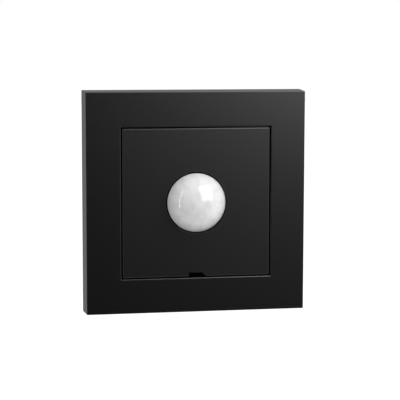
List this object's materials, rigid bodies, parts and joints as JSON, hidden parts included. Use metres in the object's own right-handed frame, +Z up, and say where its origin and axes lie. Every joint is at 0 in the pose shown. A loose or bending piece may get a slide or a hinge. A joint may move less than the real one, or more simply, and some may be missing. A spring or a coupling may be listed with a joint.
{
  "type": "pir motion sensor",
  "caption": "Square flush-mounted motion sensor: matt cover frame and centre plate round a domed lens, with support ring, claws and a round insert behind.",
  "frame": {"origin": "centre of the back of the support ring, in the plane of the wall, midway between the two box screw holes", "axes": "+Z up, +X to the right as seen from the front, the front looks along -Y and the insert reaches into the wall along +Y"},
  "size_m": [0.082, 0.051, 0.082],
  "materials": {
    "black_plastic": "fine matt grain",
    "milky_plastic": "translucent milky gloss",
    "grey_plastic": "smooth satin",
    "white_plastic": "smooth satin",
    "zinc_steel": "zinc plated",
    "nickel": "plated can",
    "brass": "plain",
    "circuit_board": "solder mask",
    "chip_epoxy": "moulded epoxy",
    "filter_glass": "dark filter",
    "clear_epoxy": "clear epoxy",
    "relay_case": "moulded case",
    "film_case": "potted case",
    "capacitor_sleeve": "shrink sleeve",
    "choke_sleeve": "shrink sleeve",
    "fuse_case": "moulded case",
    "varistor_epoxy": "dipped epoxy",
    "dial_plastic": "moulded"
  },
  "bodies": {
    "insert": {"sensor_carrier": "grey_plastic", "sensor_board": "circuit_board", "board_screws": "zinc_steel", "sensor_spacer": "white_plastic", "sensor_can": "nickel", "sensor_window": "filter_glass", "sensor_leads": "brass", "light_sensor": "clear_epoxy", "status_light": "clear_epoxy", "control_chip": "chip_epoxy", "chip_parts": "chip_epoxy", "trimmer_bodies": "relay_case", "switch_body": "nickel", "support_ring": "zinc_steel", "ring_screws": "zinc_steel", "insert_housing": "grey_plastic", "housing_lid": "white_plastic", "power_board": "circuit_board", "relay": "relay_case", "film_capacitor": "film_case", "can_capacitor": "capacitor_sleeve", "choke": "choke_sleeve", "fuse": "fuse_case", "varistor": "varistor_epoxy", "rectifier": "chip_epoxy", "small_power_parts": "chip_epoxy", "link_socket": "chip_epoxy", "link_strip": "chip_epoxy", "link_pins": "brass", "terminal_block": "grey_plastic", "terminal_bar_line": "brass", "terminal_bar_neutral": "brass", "terminal_bar_load": "brass", "terminal_bar_slave": "brass"},
    "cover_frame": {"cover_frame": "black_plastic"},
    "centre_plate": {"centre_plate": "black_plastic", "lens": "milky_plastic", "lens_retainer": "white_plastic"},
    "time_dial": {"time_dial": "dial_plastic"},
    "light_dial": {"light_dial": "dial_plastic"},
    "range_dial": {"range_dial": "dial_plastic"},
    "mode_slider": {"mode_slider": "white_plastic"},
    "claw_left": {"claw_left": "zinc_steel"},
    "claw_screw_left": {"claw_screw_left": "zinc_steel"},
    "claw_right": {"claw_right": "zinc_steel"},
    "claw_screw_right": {"claw_screw_right": "zinc_steel"},
    "terminal_screw_line": {"terminal_screw_line": "zinc_steel"},
    "terminal_cage_line": {"terminal_cage_line": "zinc_steel"},
    "terminal_screw_neutral": {"terminal_screw_neutral": "zinc_steel"},
    "terminal_cage_neutral": {"terminal_cage_neutral": "zinc_steel"},
    "terminal_screw_load": {"terminal_screw_load": "zinc_steel"},
    "terminal_cage_load": {"terminal_cage_load": "zinc_steel"},
    "terminal_screw_slave": {"terminal_screw_slave": "zinc_steel"},
    "terminal_cage_slave": {"terminal_cage_slave": "zinc_steel"}
  },
  "joints": [
    {"name": "frame_pull", "type": "slide", "parent": "insert", "child": "cover_frame", "axis": [0, -1, 0], "range_m": [0, 0.03]},
    {"name": "plate_pull", "type": "slide", "parent": "cover_frame", "child": "centre_plate", "axis": [0, -1, 0], "range_m": [0, 0.025]},
    {"name": "time_turn", "type": "hinge", "parent": "insert", "child": "time_dial", "pos_m": [-0.011, -0.0045, -0.0159], "axis": [0, 1, 0], "range_deg": [-135, 135]},
    {"name": "light_turn", "type": "hinge", "parent": "insert", "child": "light_dial", "pos_m": [0, -0.0045, -0.0159], "axis": [0, 1, 0], "range_deg": [-135, 135]},
    {"name": "range_turn", "type": "hinge", "parent": "insert", "child": "range_dial", "pos_m": [0.011, -0.0045, -0.0159], "axis": [0, 1, 0], "range_deg": [-135, 135]},
    {"name": "mode_slide", "type": "slide", "parent": "insert", "child": "mode_slider", "axis": [1, 0, 0], "range_m": [-0.0015, 0.0015]},
    {"name": "claw_screw_left_turn", "type": "hinge", "parent": "insert", "child": "claw_screw_left", "pos_m": [-0.0242, 0, 0], "axis": [0, 1, 0], "range_deg": [0, 1440]},
    {"name": "claw_left_swing", "type": "hinge", "parent": "insert", "child": "claw_left", "pos_m": [-0.0275, -0.0005, 0], "axis": [0, 0, 1], "range_deg": [0, 8]},
    {"name": "claw_screw_right_turn", "type": "hinge", "parent": "insert", "child": "claw_screw_right", "pos_m": [0.0242, 0, 0], "axis": [0, 1, 0], "range_deg": [0, 1440]},
    {"name": "claw_right_swing", "type": "hinge", "parent": "insert", "child": "claw_right", "pos_m": [0.0275, -0.0005, 0], "axis": [0, 0, -1], "range_deg": [0, 8]},
    {"name": "terminal_line_turn", "type": "hinge", "parent": "insert", "child": "terminal_screw_line", "pos_m": [-0.012, 0.03, -0.0137], "axis": [0, -1, 0], "range_deg": [0, 1008]},
    {"name": "terminal_line_clamp", "type": "slide", "parent": "insert", "child": "terminal_cage_line", "axis": [0, 1, 0], "range_m": [0, 0.0014]},
    {"name": "terminal_neutral_turn", "type": "hinge", "parent": "insert", "child": "terminal_screw_neutral", "pos_m": [-0.004, 0.03, -0.0137], "axis": [0, -1, 0], "range_deg": [0, 1008]},
    {"name": "terminal_neutral_clamp", "type": "slide", "parent": "insert", "child": "terminal_cage_neutral", "axis": [0, 1, 0], "range_m": [0, 0.0014]},
    {"name": "terminal_load_turn", "type": "hinge", "parent": "insert", "child": "terminal_screw_load", "pos_m": [0.004, 0.03, -0.0137], "axis": [0, -1, 0], "range_deg": [0, 1008]},
    {"name": "terminal_load_clamp", "type": "slide", "parent": "insert", "child": "terminal_cage_load", "axis": [0, 1, 0], "range_m": [0, 0.0014]},
    {"name": "terminal_slave_turn", "type": "hinge", "parent": "insert", "child": "terminal_screw_slave", "pos_m": [0.012, 0.03, -0.0137], "axis": [0, -1, 0], "range_deg": [0, 1008]},
    {"name": "terminal_slave_clamp", "type": "slide", "parent": "insert", "child": "terminal_cage_slave", "axis": [0, 1, 0], "range_m": [0, 0.0014]}
  ],
  "couplings": [
    {"joint": "claw_screw_left_turn", "follows": "claw_left_swing", "ratio": 179.99},
    {"joint": "claw_screw_right_turn", "follows": "claw_right_swing", "ratio": 179.99},
    {"joint": "terminal_line_turn", "follows": "terminal_line_clamp", "rad_per_m": 12566},
    {"joint": "terminal_neutral_turn", "follows": "terminal_neutral_clamp", "rad_per_m": 12566},
    {"joint": "terminal_load_turn", "follows": "terminal_load_clamp", "rad_per_m": 12566},
    {"joint": "terminal_slave_turn", "follows": "terminal_slave_clamp", "rad_per_m": 12566}
  ]
}
